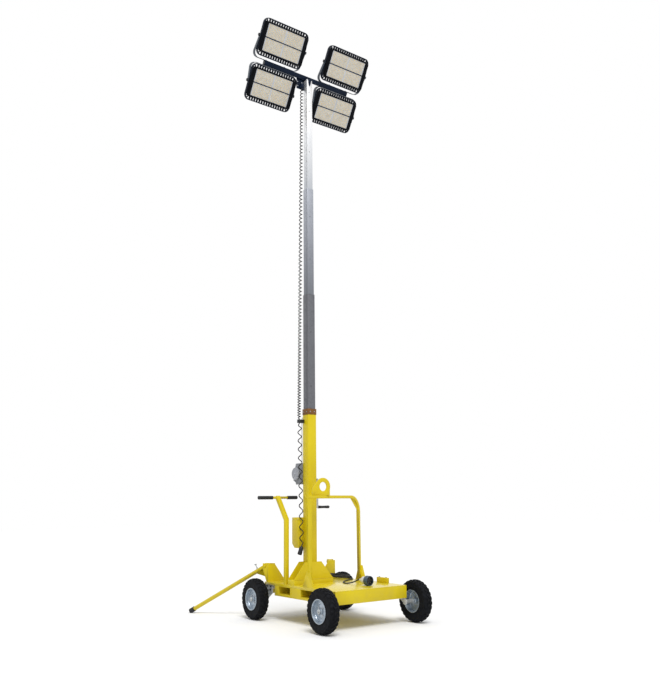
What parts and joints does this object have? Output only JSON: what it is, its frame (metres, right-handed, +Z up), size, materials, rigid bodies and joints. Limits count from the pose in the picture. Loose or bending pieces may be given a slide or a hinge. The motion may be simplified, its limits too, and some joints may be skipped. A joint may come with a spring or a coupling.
{
  "type": "mobile light tower",
  "caption": "Yellow four-wheeled mobile light tower with a telescopic mast, tilting LED floodlights, a lifting hoop, a push handle, a hand winch and folding outriggers.",
  "frame": {"origin": "middle of the machine's bounding box in plan, on the ground", "axes": "+X to the front of the deck, +Y to the side away from the push handle, +Z up"},
  "size_m": [2.2664, 1.811, 6.323],
  "materials": {
    "yellow_paint": "semi gloss",
    "galvanised_steel": "galvanised",
    "rubber_tyre": "matt",
    "black_rubber": "matt",
    "winch_grey": "satin",
    "lamp_black": "satin",
    "head_slate": "satin",
    "collar_brown": "satin",
    "plug_grey": "satin"
  },
  "bodies": {
    "chassis": {"deck_plate": "yellow_paint", "front_fascia": "yellow_paint", "rear_fascia": "yellow_paint", "side_webs": "yellow_paint", "fork_pocket_rear": "yellow_paint", "fork_pocket_front": "yellow_paint", "deck_block": "yellow_paint", "axle_front": "galvanised_steel", "axle_rear": "galvanised_steel", "mast_foot_beam": "yellow_paint", "mast_gussets": "yellow_paint", "mast_tube_1": "yellow_paint", "mast_collar": "collar_brown", "hoop_near_leg": "yellow_paint", "hoop_top_bar": "yellow_paint", "hoop_far_leg": "yellow_paint", "lifting_lug": "yellow_paint", "handle_frame": "yellow_paint", "handle_grips": "black_rubber", "winch_frame": "winch_grey", "winch_rope": "galvanised_steel", "rope_pulley": "galvanised_steel", "control_box": "yellow_paint", "outrigger_bracket_near": "yellow_paint", "outrigger_bracket_far": "yellow_paint", "coil_clamp": "black_rubber", "coil_upper": "black_rubber", "coil_lower": "black_rubber", "coil_plug": "black_rubber", "supply_cable": "black_rubber", "supply_hank": "black_rubber", "supply_lead": "black_rubber", "supply_plug": "plug_grey"},
    "wheel_front_near": {"tyre_front_near": "rubber_tyre", "rim_front_near": "galvanised_steel"},
    "wheel_front_far": {"tyre_front_far": "rubber_tyre", "rim_front_far": "galvanised_steel"},
    "wheel_rear_near": {"tyre_rear_near": "rubber_tyre", "rim_rear_near": "galvanised_steel"},
    "wheel_rear_far": {"tyre_rear_far": "rubber_tyre", "rim_rear_far": "galvanised_steel"},
    "mast_2": {"mast_tube_2": "galvanised_steel"},
    "mast_3": {"mast_tube_3": "galvanised_steel"},
    "mast_4": {"mast_tube_4": "galvanised_steel", "head_mount": "head_slate", "head_crossbar": "head_slate", "yokes_top": "head_slate", "yokes_low": "head_slate"},
    "lamp_top_near": {"lamp_top_near": "lamp_black"},
    "lamp_top_far": {"lamp_top_far": "lamp_black"},
    "lamp_low_near": {"lamp_low_near": "lamp_black"},
    "lamp_low_far": {"lamp_low_far": "lamp_black"},
    "outrigger_near": {"outrigger_arm_near": "yellow_paint", "outrigger_foot_near": "black_rubber"},
    "outrigger_far": {"outrigger_arm_far": "yellow_paint", "outrigger_foot_far": "black_rubber"},
    "crank": {"crank_arm": "galvanised_steel", "crank_grip": "black_rubber"},
    "drum": {"winch_drum": "galvanised_steel"}
  },
  "joints": [
    {"name": "wheel_front_near_spin", "type": "hinge", "parent": "chassis", "child": "wheel_front_near", "pos_m": [0.93318, -0.51403, 0.2], "axis": [0, 1, 0], "continuous": true},
    {"name": "wheel_front_far_spin", "type": "hinge", "parent": "chassis", "child": "wheel_front_far", "pos_m": [0.93318, 0.59797, 0.2], "axis": [0, 1, 0], "continuous": true},
    {"name": "wheel_rear_near_spin", "type": "hinge", "parent": "chassis", "child": "wheel_rear_near", "pos_m": [-0.24082, -0.51403, 0.2], "axis": [0, 1, 0], "continuous": true},
    {"name": "wheel_rear_far_spin", "type": "hinge", "parent": "chassis", "child": "wheel_rear_far", "pos_m": [-0.24082, 0.59797, 0.2], "axis": [0, 1, 0], "continuous": true},
    {"name": "mast_2_slide", "type": "slide", "parent": "chassis", "child": "mast_2", "axis": [0, 0, 1], "range_m": [-1.15, 0], "deforming": ["coil_upper"]},
    {"name": "mast_3_slide", "type": "slide", "parent": "mast_2", "child": "mast_3", "axis": [0, 0, 1], "range_m": [-1.15, 0]},
    {"name": "mast_4_slide", "type": "slide", "parent": "mast_3", "child": "mast_4", "axis": [0, 0, 1], "range_m": [-1.15, 0]},
    {"name": "lamp_top_near_tilt", "type": "hinge", "parent": "mast_4", "child": "lamp_top_near", "pos_m": [0.36527, -0.59303, 6.13522], "axis": [0, 1, 0], "range_deg": [-40, 40]},
    {"name": "lamp_top_far_tilt", "type": "hinge", "parent": "mast_4", "child": "lamp_top_far", "pos_m": [0.36527, 0.27697, 6.13522], "axis": [0, 1, 0], "range_deg": [-40, 40]},
    {"name": "lamp_low_near_tilt", "type": "hinge", "parent": "mast_4", "child": "lamp_low_near", "pos_m": [0.11805, -0.59303, 5.71216], "axis": [0, 1, 0], "range_deg": [-40, 40]},
    {"name": "lamp_low_far_tilt", "type": "hinge", "parent": "mast_4", "child": "lamp_low_far", "pos_m": [0.11805, 0.27697, 5.71216], "axis": [0, 1, 0], "range_deg": [-40, 40]},
    {"name": "outrigger_near_fold", "type": "hinge", "parent": "chassis", "child": "outrigger_near", "pos_m": [-0.27182, -0.36703, 0.512], "axis": [-0.454, 0.891, 0], "range_deg": [0, 100]},
    {"name": "outrigger_far_fold", "type": "hinge", "parent": "chassis", "child": "outrigger_far", "pos_m": [-0.27182, 0.45097, 0.512], "axis": [0.454, 0.891, 0], "range_deg": [0, 100]},
    {"name": "crank_turn", "type": "hinge", "parent": "chassis", "child": "crank", "pos_m": [0.04618, -0.17003, 1.385], "axis": [0, 1, 0], "continuous": true},
    {"name": "drum_turn", "type": "hinge", "parent": "chassis", "child": "drum", "pos_m": [0.07118, -0.17003, 1.455], "axis": [0, 1, 0], "continuous": true}
  ],
  "couplings": [
    {"joint": "mast_3_slide", "follows": "mast_2_slide", "ratio": 1},
    {"joint": "mast_4_slide", "follows": "mast_2_slide", "ratio": 1},
    {"joint": "drum_turn", "follows": "crank_turn", "ratio": -0.25}
  ]
}
